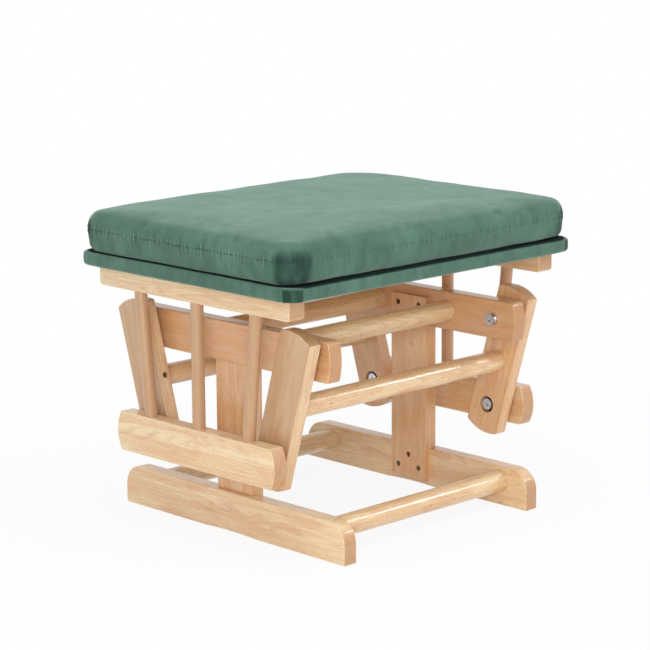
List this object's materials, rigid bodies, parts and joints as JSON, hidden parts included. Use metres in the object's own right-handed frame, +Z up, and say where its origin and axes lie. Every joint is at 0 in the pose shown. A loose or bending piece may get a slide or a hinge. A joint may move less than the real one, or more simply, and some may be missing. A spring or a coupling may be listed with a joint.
{
  "type": "glider ottoman",
  "caption": "Wooden footstool that glides: a cushioned seat hangs on swing links from a base with floor runners, posts and cross dowels.",
  "frame": {"origin": "on the floor, under the centre of the base", "axes": "+X along the cross dowels to the right side, +Y along the runners to the back, which is the glide direction, +Z up"},
  "size_m": [0.5, 0.4, 0.4004],
  "materials": {
    "lacquered_beech": "clear lacquer on pale hardwood",
    "plywood": "sanded plywood",
    "green_microfibre": "brushed green microfibre",
    "foam": "open cell foam",
    "zinc_plated_steel": "bright zinc plating",
    "bearing_steel": "ground steel",
    "dark_screw_steel": "yellow zinc plating, dulled"
  },
  "bodies": {
    "base": {"runner_left": "lacquered_beech", "runner_right": "lacquered_beech", "runner_dowel_front": "lacquered_beech", "runner_dowel_back": "lacquered_beech", "post_left": "lacquered_beech", "post_right": "lacquered_beech", "top_rail_left": "lacquered_beech", "top_rail_right": "lacquered_beech", "top_dowel_front": "lacquered_beech", "top_dowel_back": "lacquered_beech", "post_screws": "dark_screw_steel", "base_dowel_screws": "dark_screw_steel", "top_outer_rings": "bearing_steel"},
    "front_links": {"front_link_left": "lacquered_beech", "front_link_right": "lacquered_beech", "front_link_dowel": "lacquered_beech", "front_dowel_screws": "dark_screw_steel", "front_top_bolts": "zinc_plated_steel", "front_top_washers": "zinc_plated_steel", "front_top_sleeves": "zinc_plated_steel", "front_top_inner_rings": "bearing_steel", "front_top_balls": "bearing_steel", "front_top_spacers": "zinc_plated_steel", "front_top_inserts": "zinc_plated_steel", "front_bottom_outer_rings": "bearing_steel"},
    "back_links": {"back_link_left": "lacquered_beech", "back_link_right": "lacquered_beech", "back_link_dowel": "lacquered_beech", "back_dowel_screws": "dark_screw_steel", "back_top_bolts": "zinc_plated_steel", "back_top_washers": "zinc_plated_steel", "back_top_sleeves": "zinc_plated_steel", "back_top_inner_rings": "bearing_steel", "back_top_balls": "bearing_steel", "back_top_spacers": "zinc_plated_steel", "back_top_inserts": "zinc_plated_steel", "back_bottom_outer_rings": "bearing_steel"},
    "seat": {"lower_rail_left": "lacquered_beech", "lower_rail_right": "lacquered_beech", "spindle_left_front": "lacquered_beech", "spindle_left_middle": "lacquered_beech", "spindle_left_back": "lacquered_beech", "spindle_right_front": "lacquered_beech", "spindle_right_middle": "lacquered_beech", "spindle_right_back": "lacquered_beech", "upper_rail_left": "lacquered_beech", "upper_rail_right": "lacquered_beech", "seat_board": "plywood", "board_cover": "green_microfibre", "board_screws": "dark_screw_steel", "cushion_foam": "foam", "cushion": "green_microfibre", "bottom_bolts": "zinc_plated_steel", "bottom_inner_rings": "bearing_steel", "bottom_balls": "bearing_steel", "bottom_spacers": "zinc_plated_steel", "bottom_inserts": "zinc_plated_steel"}
  },
  "joints": [
    {"name": "front_swing", "type": "hinge", "parent": "base", "child": "front_links", "pos_m": [0, -0.14, 0.2405], "axis": [1, 0, 0], "range_deg": [-12, 12]},
    {"name": "back_swing", "type": "hinge", "parent": "base", "child": "back_links", "pos_m": [0, 0.14, 0.2405], "axis": [1, 0, 0], "range_deg": [-12.5, 12.5]},
    {"name": "seat_tilt", "type": "hinge", "parent": "front_links", "child": "seat", "pos_m": [0, -0.10446, 0.11857], "axis": [1, 0, 0], "range_deg": [-16.5, 16.5]}
  ],
  "couplings": [
    {"joint": "back_swing", "follows": "front_swing", "ratio": 1},
    {"joint": "seat_tilt", "follows": "front_swing", "ratio": -1.3402}
  ]
}
